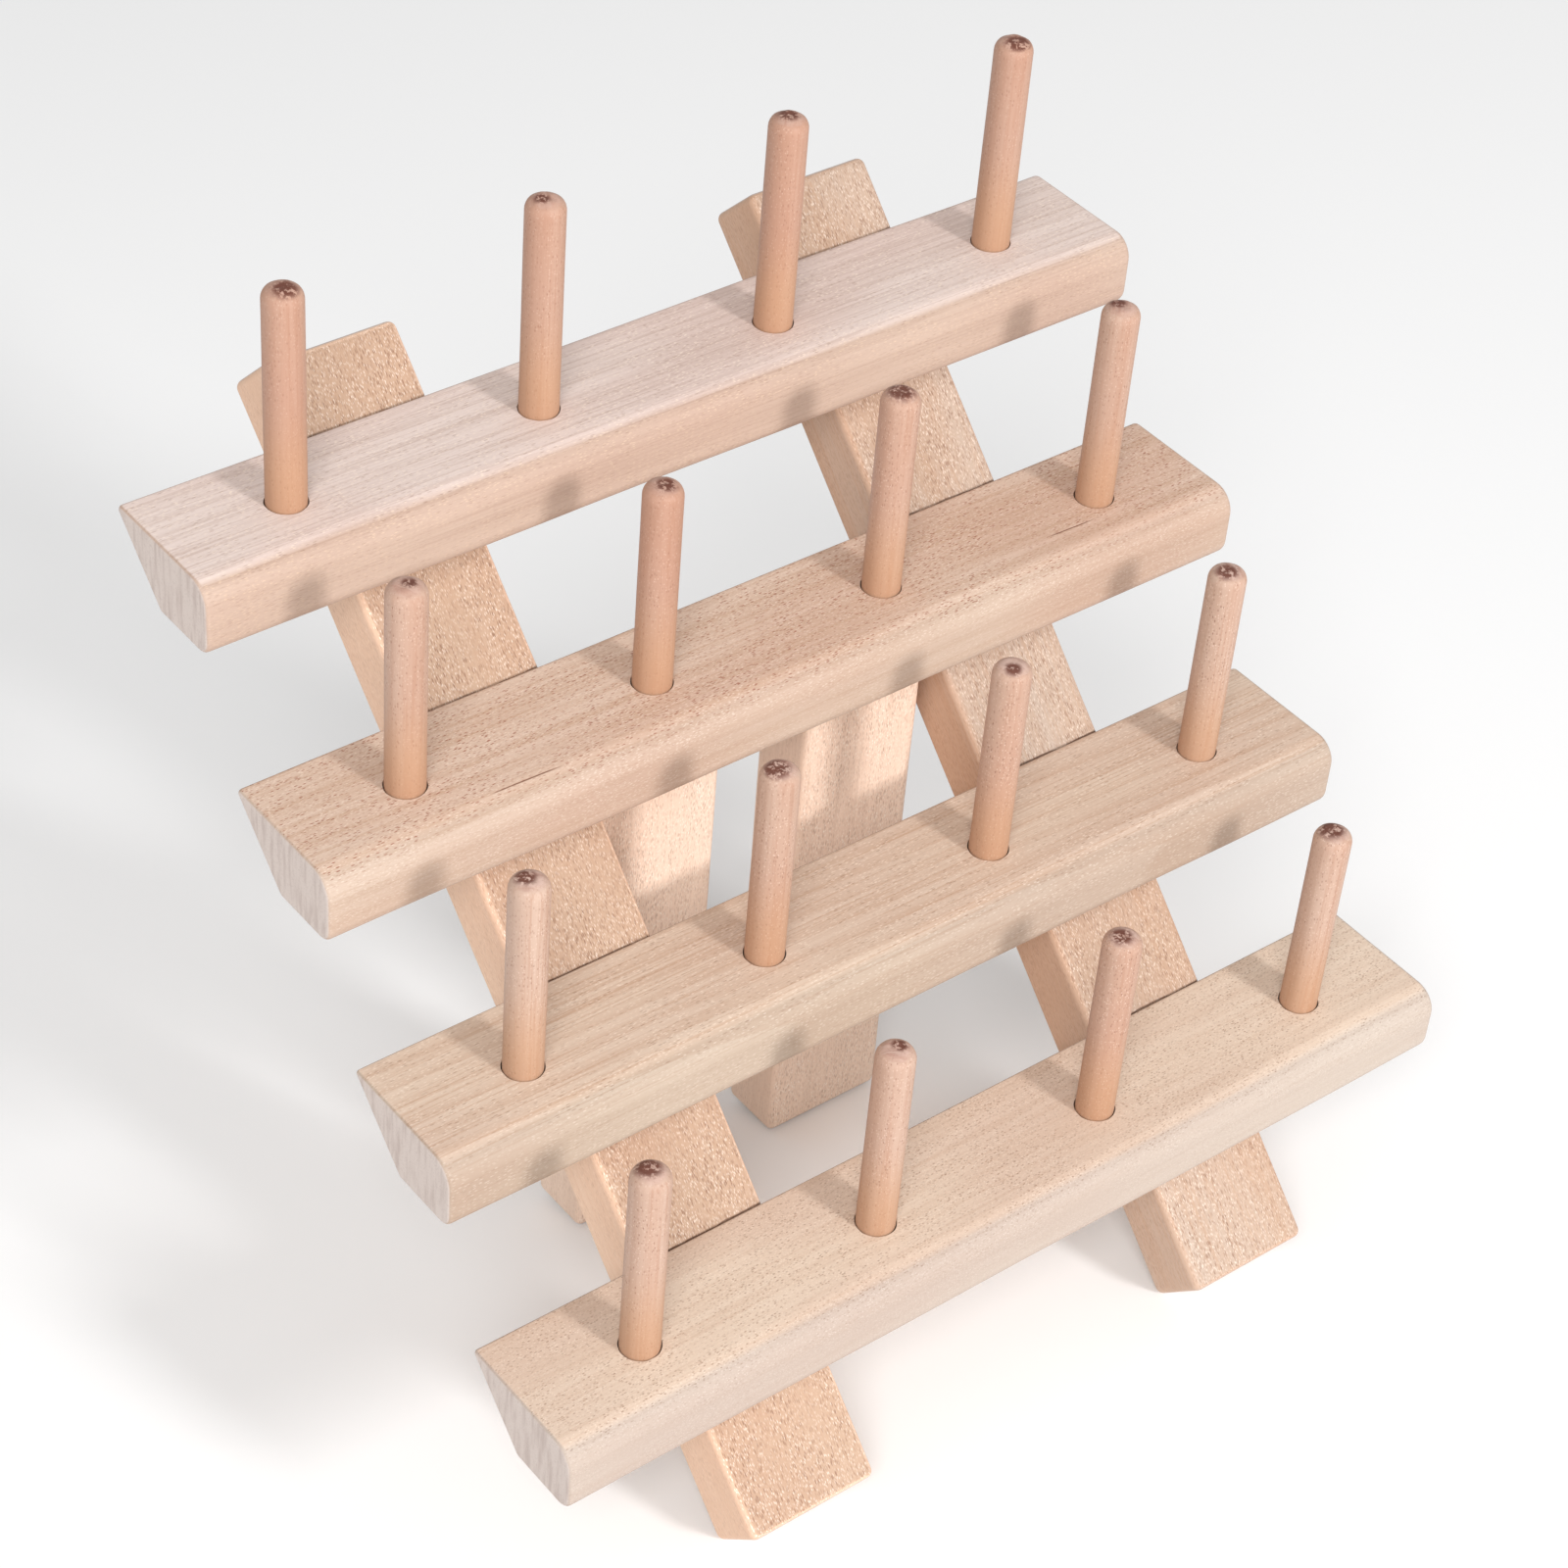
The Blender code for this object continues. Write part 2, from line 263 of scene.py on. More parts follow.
def specks(tree, point, scales, shift, size, share):
    # Small dashes: one in some of the cells of a stretched cell pattern
    node = tree.nodes.new("ShaderNodeTexVoronoi")
    node.inputs["Scale"].default_value = 1
    node.inputs["Randomness"].default_value = 1
    tree.links.new(stretched(tree, point, scales, shift), node.inputs["Vector"])
    near = fade(tree, node.outputs["Distance"], size * 0.4, size, 1, 0)
    pick = tree.nodes.new("ShaderNodeSeparateColor")
    tree.links.new(node.outputs["Color"], pick.inputs[0])
    chosen = calc(tree, "LESS_THAN", pick.outputs[0], share)
    strength = fade(tree, pick.outputs[1], 0, 1, 0.35, 1)
    return calc(tree, "MULTIPLY", calc(tree, "MULTIPLY", near, chosen), strength)


def blendColour(tree, amount, first, second, kind="MIX"):
    node = tree.nodes.new("ShaderNodeMix")
    node.data_type = "RGBA"
    node.blend_type = kind
    node.clamp_factor = True
    feed(tree, node.inputs["Factor"], amount)
    feed(tree, node.inputs["A"], first)
    feed(tree, node.inputs["B"], second)
    return node.outputs["Result"]


def newMaterial(name):
    material = bpy.data.materials.new(name)
    material.use_nodes = True
    return material, material.node_tree, material.node_tree.nodes["Principled BSDF"]


beechLook = {
    "pale": screenColour(221, 196, 175),
    "pink": screenColour(213, 184, 165),
    "line": screenColour(184, 149, 123),
    "fleck": screenColour(140, 104, 82),
    # Pale flecks: partly the wood's rays, partly painted glints
    "rayAndGlint": screenColour(240, 222, 205),
    "endGrain": screenColour(206, 192, 184),
    "endLine": screenColour(176, 158, 150),
    # Painted light and shade: the narrow faces are made lighter or darker to stand for how the lamps fall on them
    "narrowFaceLightAndShade": screenColour(255, 255, 255),      # multiplies the narrow faces
    "ringSpacing": 0.0026,
    "pith": (0.021, -0.034),       # middle of the tree, across the board
    "pithSlope": 0.02,             # how far the board is cut off the tree's axis
    "rings": 0.25,
    "streaks": 0.4,
    "lines": 0.4,                  # thin and long
    "flecks": 0.7,                 # on the broad faces
    "edgeFlecks": 0.25,            # on the narrow ones
    "fleckShare": 0.7,
    "fleckLength": 0.0016,
    "fleckWidth": 0.00036,
    "fleckSize": 0.4,              # as a share of the space between flecks
    "raysAndGlints": 0.45,
    "edgeRaysAndGlints": 1.0,             # share of the sparks left on the narrow faces
    "edgeStreaks": 0.45,           # and of the streaks and lines
    "splits": (),                  # each (start, end, across the board, drift)
    "splitColour": screenColour(112, 70, 50),
    "seed": 0.0,
    "roughness": 0.62,
    "shine": 0.32,
    "bump": 0.4,
    "bumpDepth": 0.00012,
}

grainScales = {                    # repeats in a metre: along, across and through the board
    "wander": (9, 26, 26),
    "fibres": (45, 1500, 1500),
    "threads": (16, 2300, 2300),
    "bands": (6, 210, 210),
    "patches": (14, 40, 40),
    "crowding": (60, 160, 160),
    "endRays": (60, 900, 120),
    "endPores": (900, 2600, 2600),
    "tipMottle": (500, 1100, 1100),
    "glueAndShadeBreaks": (130, 130, 130),
}


def grainPoint(tree):
    # The place in the board, grain first, which dress() stores in the mesh
    node = tree.nodes.new("ShaderNodeAttribute")
    node.attribute_name = "grainPlace"
    return node.outputs["Vector"]


def byFace(tree, broadFace, onBroad, onNarrow):
    return calc(tree, "ADD", calc(tree, "MULTIPLY", broadFace, onBroad - onNarrow), onNarrow)


def lateWoodIn(tree, look, point, parts, drift):
    # The dark part of each growth ring, round a slightly slanted and wandering pith
    along, across, through = parts
    wander = cloud(tree, point, grainScales["wander"], drift, detail=1.5)
    slant = calc(tree, "MULTIPLY", along, look["pithSlope"])
    sway = calc(tree, "MULTIPLY", calc(tree, "SUBTRACT", wander, 0.5), 0.006)
    sideways = calc(tree, "ADD", calc(tree, "SUBTRACT", across, look["pith"][0]), slant)
    depth = calc(tree, "ADD", calc(tree, "SUBTRACT", through, look["pith"][1]), sway)
    squares = calc(tree, "ADD", calc(tree, "POWER", sideways, 2), calc(tree, "POWER", depth, 2))
    ringAge = calc(tree, "DIVIDE", calc(tree, "SQRT", squares), look["ringSpacing"])
    ringPlace = calc(tree, "FRACT", ringAge)
    return calc(tree, "MULTIPLY", fade(tree, ringPlace, 0.3, 0.93),
                fade(tree, ringPlace, 0.95, 1.0, 1, 0))


def splitIn(tree, start, end, level, climb, parts, crowding):
    # A thin drying crack in the upper face, from start to end along the board
    along, across, through = parts
    path = calc(tree, "MULTIPLY", calc(tree, "SUBTRACT", along, start), climb)
    offset = calc(tree, "SUBTRACT", calc(tree, "SUBTRACT", across, level), path)
    jitter = calc(tree, "MULTIPLY", calc(tree, "SUBTRACT", crowding, 0.75), 0.0003)
    offset = calc(tree, "ABSOLUTE", calc(tree, "ADD", offset, jitter))
    split = calc(tree, "MULTIPLY", fade(tree, along, start, start + 0.003),
                 fade(tree, along, end - 0.005, end, 1, 0))
    split = calc(tree, "MULTIPLY", split, fade(tree, offset, 0.00006, 0.0002, 0.85, 0))
    return calc(tree, "MULTIPLY", split, fade(tree, through, -0.004, -0.003))


def sawnEnd(tree, look, point, drift):
    # Greyer than the faces, with soft rays across it
    rays = cloud(tree, point, grainScales["endRays"], drift, detail=2.5, roughness=0.55)
    pores = cloud(tree, point, grainScales["endPores"], drift, detail=1)
    colour = blendColour(tree, fade(tree, rays, 0.42, 0.72, 0, 0.6),
                         look["endGrain"], look["endLine"])
    return blendColour(tree, fade(tree, pores, 0.5, 0.8, 0, 0.4), colour, look["endLine"])


def beechColour(tree, look, alongWay, throughWay):
    # Returns the colour, a height for the bump and the place in the board
    seed = look["seed"]
    drift = (seed * 3.1, seed * 1.7, seed * 2.3)
    point = grainPoint(tree)
    separate = tree.nodes.new("ShaderNodeSeparateXYZ")
    tree.links.new(point, separate.inputs[0])
    parts = tuple(separate.outputs)
    facingThrough = facing(tree, throughWay)
    broadFace = fade(tree, facingThrough, 0.55, 0.9)
    lateWood = lateWoodIn(tree, look, point, parts, drift)

    # Fibres, broad patches, short dark pores, and pale ray flecks that also stand as painted glints
    fibres = cloud(tree, point, grainScales["fibres"], drift, detail=3, roughness=0.6)
    threads = cloud(tree, point, grainScales["threads"], drift, detail=1.5, roughness=0.4)
    bands = cloud(tree, point, grainScales["bands"], drift, detail=2.5)
    patches = cloud(tree, point, grainScales["patches"], drift, detail=1)
    perLength, perWidth = 1 / look["fleckLength"], 1 / look["fleckWidth"]
    pores = specks(tree, point, (perLength, perWidth, perWidth), drift, look["fleckSize"],
                   look["fleckShare"])
    shifted = tuple(part + 0.7 for part in drift)
    raysAndGlints = specks(tree, point, (perLength * 1.6, perWidth * 1.2, perWidth * 1.2), shifted,
                    0.45, look["fleckShare"])
    crowding = fade(tree, cloud(tree, point, grainScales["crowding"], drift, detail=2),
                    0.3, 0.6, 0.5, 1)
    fleckAmount = byFace(tree, broadFace, look["flecks"], look["edgeFlecks"])
    fleckAmount = calc(tree, "MULTIPLY", fleckAmount, crowding)
    poreAmount = calc(tree, "MULTIPLY", pores, fleckAmount)
    rayGlintShare = byFace(tree, broadFace, 1, look["edgeRaysAndGlints"])
    rayGlintAmount = calc(tree, "MULTIPLY", calc(tree, "MULTIPLY", raysAndGlints, crowding), rayGlintShare)

    # The layers, from the broad patches down to the pores and splits
    calm = byFace(tree, broadFace, 1, look["edgeStreaks"])
    colour = blendColour(tree, fade(tree, patches, 0.36, 0.66), look["pale"], look["pink"])
    for pattern, low, share in ((bands, 0.42, look["streaks"] * 0.7),
                                (fibres, 0.44, look["streaks"]), (threads, 0.54, look["lines"])):
        amount = calc(tree, "MULTIPLY", fade(tree, pattern, low, 0.66, 0, share), calm)
        colour = blendColour(tree, amount, colour, look["line"])
    colour = blendColour(tree, calc(tree, "MULTIPLY", lateWood, look["rings"]),
                         colour, look["line"])
    # Pale ray flecks, also painted glints where the surface would sparkle
    colour = blendColour(tree, calc(tree, "MULTIPLY", rayGlintAmount, look["raysAndGlints"]), colour,
                         look["rayAndGlint"])
    colour = blendColour(tree, poreAmount, colour, look["fleck"])
    for start, end, level, climb in look["splits"]:
        split = splitIn(tree, start, end, level, climb, parts, crowding)
        colour = blendColour(tree, split, colour, look["splitColour"])
        poreAmount = calc(tree, "MAXIMUM", poreAmount, split)
    # Painted light and shade: the narrow faces are multiplied lighter or darker than the broad faces, as the lamps
    # would light them
    faceShaded = blendColour(tree, 1.0, colour, look["narrowFaceLightAndShade"], "MULTIPLY")
    flatFace = fade(tree, facingThrough, 0.8, 0.99)
    colour = blendColour(tree, flatFace, faceShaded, colour)
    endMask = fade(tree, facing(tree, alongWay), 0.72, 0.95)
    colour = blendColour(tree, endMask, colour, sawnEnd(tree, look, point, drift))

    height = calc(tree, "SUBTRACT", calc(tree, "MULTIPLY", fibres, 0.7), poreAmount)
    return colour, height, parts


def facing(tree, way):
    # How squarely the surface looks along a direction of the object, from 0 to 1
    place = tree.nodes.new("ShaderNodeTexCoord")
    node = tree.nodes.new("ShaderNodeVectorMath")
    node.operation = "DOT_PRODUCT"
    tree.links.new(place.outputs["Normal"], node.inputs[0])
    node.inputs[1].default_value = way
    return calc(tree, "ABSOLUTE", node.outputs["Value"])


def roughen(tree, shader, height, strength, depth):
    bump = tree.nodes.new("ShaderNodeBump")
    bump.inputs["Strength"].default_value = strength
    bump.inputs["Distance"].default_value = depth
    tree.links.new(height, bump.inputs["Height"])
    tree.links.new(bump.outputs["Normal"], shader.inputs["Normal"])


def finishWood(tree, shader, look, colour, height):
    tree.links.new(colour, shader.inputs["Base Color"])
    rough = fade(tree, height, -1, 0.8, look["roughness"] + 0.14, look["roughness"] - 0.05)
    tree.links.new(rough, shader.inputs["Roughness"])
    shader.inputs["Specular IOR Level"].default_value = look["shine"]
    roughen(tree, shader, height, look["bump"], look["bumpDepth"])


def beech(name, alongWay, throughWay, **changes):
    look = {**beechLook, **changes}
    material, tree, shader = newMaterial(name)
    colour, height, _ = beechColour(tree, look, alongWay, throughWay)
    finishWood(tree, shader, look, colour, height)
    return material


straightStops = (0.02, 0.14, 0.3, 0.5, 0.7, 0.86, 0.98)     # shares of a side between its corners


def outlineRing(corners, inset, steps):
    # Corners are (u, v, radius), in order; the outline is drawn in by inset
    points = [Vector(corner[:2]) for corner in corners]
    arcs = []
    for index, (_, _, radius) in enumerate(corners):
        here = points[index]
        back = (points[index - 1] - here).normalized()
        ahead = (points[(index + 1) % len(points)] - here).normalized()
        half = back.angle(ahead) / 2
        bisector = (back + ahead).normalized()
        left = max(radius - inset, 0.00005)
        centre = here + bisector * (inset + left) / sin(half)
        sweep = pi - 2 * half
        if back.x * ahead.y - back.y * ahead.x > 0:
            sweep = -sweep
        start = here + bisector * inset / sin(half) + back * left / tan(half) - centre
        arcs.append([centre + Matrix.Rotation(sweep * step / steps, 2) @ start
                     for step in range(steps + 1)])
    ring = []
    for index, arc in enumerate(arcs):
        after = arcs[(index + 1) % len(arcs)][0]
        ring += arc + [arc[-1].lerp(after, stop) for stop in straightStops]
    return ring


def board(name, axis, cornersAt, low, high, endRounds, stations=40, steps=8):
    # A board swept along X or Z between two end planes, with rounded ends.
    # cornersAt(share) gives the section; low and high give the end for a section point.
    shape = bmesh.new()
    firstRound, lastRound = endRounds
    turns = [pi / 2 * step / 6 for step in range(7)]
    plan = [(0, 0, firstRound + 0.0004)]
    plan += [(0, firstRound * (1 - cos(turn)), firstRound * (1 - sin(turn))) for turn in turns]
    plan += [(station / stations, None, 0) for station in range(1, stations)]
    plan += [(1, lastRound * (1 - cos(turn)), lastRound * (1 - sin(turn)))
             for turn in reversed(turns)]
    plan += [(1, 0, lastRound + 0.0004)]
    rings = []
    for share, past, inset in plan:
        ring = []
        for point in outlineRing(cornersAt(share), inset, steps):
            first, last = low(point), high(point)
            if past is None:
                reach = (first + firstRound) * (1 - share) + (last - lastRound) * share
            else:
                reach = first + past if share == 0 else last - past
            place = (reach, point.x, point.y) if axis == "X" else (point.x, point.y, reach)
            ring.append(shape.verts.new(place))
        rings.append(ring)
    for ring, following in zip(rings, rings[1:]):
        for index in range(len(ring)):
            after = (index + 1) % len(ring)
            shape.faces.new((ring[index], ring[after], following[after], following[index]))
    shape.faces.new(rings[0])
    shape.faces.new(reversed(rings[-1]))
    return meshFrom(name, shape)


def turnedShape(name, outline, sides, wobble=None):
    # (radius, height) pairs round Z; wobble(angle, radius, height) moves the radius
    shape = bmesh.new()
    closed = all(radius > 0 for radius, _ in outline)
    columns = []
    for side in range(sides):
        angle = 2 * pi * side / sides
        column = []
        for radius, height in outline:
            if radius == 0:
                column.append(None)
                continue
            out = radius + (wobble(angle, radius, height) if wobble else 0)
            column.append(shape.verts.new((out * cos(angle), out * sin(angle), height)))
        columns.append(column)
    poles = {index: shape.verts.new((0, 0, height))
             for index, (radius, height) in enumerate(outline) if radius == 0}
    count = len(outline)
    for side, column in enumerate(columns):
        following = columns[(side + 1) % sides]
        for index in range(count if closed else count - 1):
            upper = (index + 1) % count
            corners = [column[index] or poles[index], following[index], following[upper],
                       column[upper] or poles[upper]]
            shape.faces.new([corner for corner in corners if corner])
    return meshFrom(name, shape)


def meshFrom(name, shape, smoothBelow=radians(38)):
    bmesh.ops.recalc_face_normals(shape, faces=shape.faces)
    mesh = bpy.data.meshes.new(name)
    shape.to_mesh(mesh)
    shape.free()
    mesh.shade_smooth()
    mesh.set_sharp_from_angle(angle=smoothBelow)
    return mesh


def putPiece(name, mesh, axes):
    piece = bpy.data.objects.new(name, mesh)
    bpy.context.scene.collection.objects.link(piece)
    piece.matrix_world = axes
    return piece


def drillOut(piece, cutters, smoothBelow=radians(38)):
    for cutter in cutters:
        hole = piece.modifiers.new("hole", "BOOLEAN")
        hole.operation = "DIFFERENCE"
        hole.solver = "EXACT"
        hole.object = cutter
    bpy.context.view_layer.update()
    graph = bpy.context.evaluated_depsgraph_get()
    drilled = bpy.data.meshes.new_from_object(piece.evaluated_get(graph))
    piece.modifiers.clear()
    piece.data = drilled
    drilled.shade_smooth()
    drilled.set_sharp_from_angle(angle=smoothBelow)
    for cutter in cutters:
        bpy.data.objects.remove(cutter)


def dress(piece, node, material, grainAxis=None):
    # The mesh keeps its place in the board, grain first, and is then set in the stand
    if grainAxis is not None:
        places = piece.data.attributes.new("grainPlace", "FLOAT_VECTOR", "POINT")
        for vertex, place in zip(piece.data.vertices, places.data):
            x, y, z = vertex.co
            place.vector = (x, y, z) if grainAxis == "X" else (z, x, y)
    piece.data.transform(piece.matrix_world)
    piece.matrix_world = Matrix()
    piece.data.materials.clear()
    piece.data.materials.append(material)
    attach(piece, bodyOf[node])
    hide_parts(node)


def waver(seed, along, rate, amount):
    # A slow, repeatable wander between -amount and amount
    return amount * noise.noise(Vector((along * rate, seed * 7.3, seed * 1.9)))


pegShape = {
    "radius": 0.00355,
    "exposed": 0.0415,
    "sunk": 0.0097,
    "tipRound": 0.0024,
    "footChamfer": 0.0005,
    "sides": 40,
    "unevenness": 0.00004,
    "tipRoughness": 0.00011,
}

pegLook = {
    "pale": screenColour(194, 167, 150),
    "pink": screenColour(188, 152, 133),
    "line": screenColour(164, 120, 96),
    "fleck": screenColour(118, 76, 56),
    "rayAndGlint": screenColour(236, 214, 198),
    "endGrain": screenColour(199, 170, 157),
    "endLine": screenColour(152, 108, 92),
    "rings": 0.12,
    "streaks": 0.36,
    "lines": 0.2,
    "flecks": 0.6,
    "edgeFlecks": 0.6,
    "fleckShare": 0.55,
    "fleckLength": 0.0009,
    "fleckWidth": 0.0004,
    "raysAndGlints": 0.45,
    "pith": (0.012, 0.02),
    "roughness": 0.56,
}
pegTint = {
    "deep": screenColour(172, 124, 101),
    "depths": {1: 0.9, 2: 0.7, 3: 0.2, 4: 0.2},     # rail by rail
    "depthSpread": 0.35,           # from peg to peg
    "foot": screenColour(186, 142, 108),
    "footStrength": 0.6,
    "footFade": (0.004, 0.024),    # heights over the rail
    "stain": screenColour(96, 48, 34),
    "stainStrength": 0.92,
    "stainWander": 0.0016,         # off the peg's middle
    "stainRadii": (0.0016, 0.0034),
}


def pegMesh(seed):
    radius = pegShape["radius"]
    foot = -pegShape["sunk"]
    tip = pegShape["exposed"]
    bend = pegShape["tipRound"]
    outline = [(0, foot), (radius - pegShape["footChamfer"], foot),
               (radius, foot + pegShape["footChamfer"])]
    outline += [(radius, foot + (tip - bend - foot) * step / 24) for step in range(1, 24)]
    outline += [(radius - bend * (1 - cos(pi / 2 * step / 9)),
                 tip - bend * (1 - sin(pi / 2 * step / 9))) for step in range(10)]
    flat = radius - bend
    outline += [(flat * share, tip) for share in (0.75, 0.5, 0.25)]
    outline += [(0, tip)]

    def uneven(angle, out, height):
        turn = Vector((cos(angle) * 1.4, sin(angle) * 1.4, height * 60 + seed * 5))
        return -pegShape["unevenness"] * (1 + noise.noise(turn)) * min(1, out / radius)

    mesh = turnedShape("peg", outline, pegShape["sides"], uneven)
    for vertex in mesh.vertices:
        if vertex.co.z > tip - 0.0006:
            spot = Vector((vertex.co.x * 900, vertex.co.y * 900, seed * 3.7))
            vertex.co.z -= pegShape["tipRoughness"] * (1 + noise.noise(spot))
    return mesh


def pegMaterial(name, seed, depth):
    look = {**beechLook, **pegLook, "seed": seed}
    material, tree, shader = newMaterial(name)
    colour, height, (along, across, through) = beechColour(tree, look, rackUp, rackBack)

    # Warmer towards the rail, and a stained, rough spot in the end grain
    depth = max(0, depth + waver(seed, 3.3, 1, pegTint["depthSpread"]))
    colour = blendColour(tree, depth * 0.5, colour, pegTint["deep"])
    warm = fade(tree, along, *pegTint["footFade"], pegTint["footStrength"], 0)
    colour = blendColour(tree, warm, colour, pegTint["foot"])
    offX = waver(seed, 1.3, 1, pegTint["stainWander"])
    offY = waver(seed, 7.9, 1, pegTint["stainWander"])
    smallest, largest = pegTint["stainRadii"]
    spread = smallest + (largest - smallest) * (seed * 0.29 % 1)
    reach = calc(tree, "SQRT", calc(tree, "ADD",
                 calc(tree, "POWER", calc(tree, "ADD", across, offX), 2),
                 calc(tree, "POWER", calc(tree, "ADD", through, offY), 2)))
    mottle = cloud(tree, grainPoint(tree), grainScales["tipMottle"], (seed, seed, seed),
                   detail=3, roughness=0.7)
    spot = calc(tree, "MULTIPLY", fade(tree, reach, spread * 0.45, spread, 1, 0),
                fade(tree, mottle, 0.38, 0.5))
    spot = calc(tree, "MULTIPLY", spot,
                fade(tree, along, pegShape["exposed"] - 0.0012, pegShape["exposed"] - 0.0006))
    colour = blendColour(tree, calc(tree, "MULTIPLY", spot, pegTint["stainStrength"]), colour,
                         pegTint["stain"])
    finishWood(tree, shader, look, colour, height)
    return material


def makePegs():
    for rail in railNumbers:
        seat = railSeat(rail)
        for number in pegNumbers:
            node = f"peg_{rail}_{number}"
            seed = rail * 4.7 + number * 1.3
            spot = Vector((middleAcross(node), seat.y, seat.z))
            turn = Matrix.Rotation(seed * 2.1, 4, "Z")
            piece = putPiece(node + "_dowel", pegMesh(seed),
                             axesAt(spot, rackBack, rackUp) @ turn)
            dress(piece, node, pegMaterial(node + "_beech", seed, pegTint["depths"][rail]), "Z")


railShape = {
    "front": 0.0135,           # from the pegs' line
    "back": 0.0153,
    "thickness": 0.014,
    "topRound": 0.0047,
    "lowerRound": 0.003,
    "heelRound": 0.0015,
    "backRounds": (0.001, 0.0008, 0.0006, 0.0006),    # the thin back edge, rail by rail
    "endRounds": (0.0008, 0.0016),
    "socket": 0.00373,
    "socketDepth": 0.010,
    "socketRaggedness": 0.0001,
    "screwDown": 0.013,
    "screwHole": 0.00205,
    "screwDepth": 0.0113,
}

# Each rail's narrow faces carry painted shade, a little darker than its top
railLooks = {
    1: {"seed": 1.0, "rings": 0.06, "streaks": 0.3, "pithSlope": 0.012, "lines": 0.35,
        "flecks": 0.45, "raysAndGlints": 0.8, "fleckWidth": 0.0003,
        "pale": screenColour(222, 205, 197), "pink": screenColour(216, 194, 185),
        "line": screenColour(182, 157, 144), "narrowFaceLightAndShade": screenColour(220, 208, 196)},
    2: {"seed": 2.0, "rings": 0.16, "streaks": 0.4, "flecks": 1.0, "fleckLength": 0.0013,
        "fleckWidth": 0.0003, "fleckShare": 0.95, "raysAndGlints": 0.6, "lines": 0.3,
        "fleck": screenColour(150, 88, 66), "pale": screenColour(212, 188, 170),
        "pink": screenColour(206, 175, 156), "narrowFaceLightAndShade": screenColour(233, 234, 234),
        "splits": ((-0.065, -0.049, -0.0094, -0.03), (0.059, 0.072, -0.005, -0.02))},
    3: {"seed": 3.0, "rings": 0.27, "streaks": 0.2, "flecks": 0.5, "pith": (0.03, -0.008),
        "pithSlope": 0.05, "ringSpacing": 0.0041, "line": screenColour(182, 146, 120),
        "lines": 0.45, "raysAndGlints": 0.6,
        "pale": screenColour(213, 192, 173), "pink": screenColour(207, 183, 165),
        "narrowFaceLightAndShade": screenColour(224, 225, 225)},
    4: {"seed": 4.0, "rings": 0.05, "streaks": 0.17, "lines": 0.15, "flecks": 0.62,
        "fleckShare": 0.9, "fleckLength": 0.0008, "fleckSize": 0.44, "raysAndGlints": 0.6,
        "pale": screenColour(219, 199, 180), "pink": screenColour(211, 187, 169),
        "narrowFaceLightAndShade": screenColour(223, 227, 233)},
}


def railCorners(seed):
    heel = railShape["back"] - railShape["thickness"] * tan(lean)
    backRound = railShape["backRounds"][seed - 1]

    def cornersAt(share):
        def worn(radius, offset):
            return radius * (1 + waver(seed + offset, share, 5, 0.16))
        low = -railShape["thickness"]
        return [(railShape["back"], 0, worn(backRound, 1.2)),
                (-railShape["front"], 0, worn(railShape["topRound"], 0.3)),
                (-railShape["front"], low, worn(railShape["lowerRound"], 0.6)),
                (heel, low, worn(railShape["heelRound"], 0.9))]
    return cornersAt


cutPast = 0.002       # cutters run this far past a surface


def drillBit(radius, low, high, sides):
    return turnedShape("cutter", [(0, low), (radius, low), (radius, high), (0, high)], sides)


def raggedHole(seed, radius, low, high, amount):
    # A drilled hole's cutter, a little out of round where the bit tore the wood
    def torn(angle, out, height):
        spot = Vector((cos(angle) * 2.4, sin(angle) * 2.4, seed * 4.1))
        return amount * noise.noise(spot) * (1 if height > -0.001 else 0.3)
    outline = [(0, low), (radius, low), (radius, -0.0023), (radius, -0.0007), (radius, high),
               (0, high)]
    return turnedShape("cutter", outline, 48, torn)


def makeRails():
    for rail in railNumbers:
        node = f"rail_{rail}"
        low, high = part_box(node)
        axes = axesAt(railSeat(rail), rackBack, rackUp)
        mesh = board(node, "X", railCorners(rail), lambda point: low.x, lambda point: high.x,
                     railShape["endRounds"], stations=60)
        piece = putPiece(node + "_board", mesh, axes)
        cutters = []
        for number in pegNumbers:
            across = Matrix.Translation((middleAcross(f"peg_{rail}_{number}"), 0, 0))
            hole = raggedHole(rail * 4 + number, railShape["socket"], -railShape["socketDepth"],
                              cutPast, railShape["socketRaggedness"])
            cutters.append(putPiece("cutter", hole, axes @ across))
        for side in ("left", "right"):
            cutters.append(putPiece("cutter", screwHole(), screwAxes(rail, side)))
        drillOut(piece, cutters)
        dress(piece, node, beech(node + "_beech", (1, 0, 0), rackUp, **railLooks[rail]), "X")


screwShape = {
    "railShank": 0.00175,
    "railHead": 0.0035,
    "railBite": 0.011,
    "railTop": 0.0141,         # head's top past the rail's bevel
    "pivotShank": 0.002,
    "pivotHead": 0.004,
    "pivotHeadHeight": 0.0026,
    "pivotBite": 0.016,
    "pivotSeat": 0.0297,       # under the head, past the stile's inner face
    "point": 0.003,
    "pitch": 0.0016,
    "threadDepth": 0.00045,
    "sides": 28,
    "washerOuter": 0.005,
    "washerInner": 0.0023,
    "washerThickness": 0.001,
    "slack": 0.0003,
    "railRecess": (0.0019, 0.0016),     # reach and depth of the cross
    "pivotRecess": (0.0021, 0.0018),
    "railThreadTop": 0.004,
    "pivotThreadTop": -0.0005,
    "smoothBelow": radians(30),
}

steelLook = {
    "bright": screenColour(205, 204, 200),
    "dull": screenColour(150, 149, 145),
    "bump": 0.15,
    "bumpDepth": 0.00003,
}


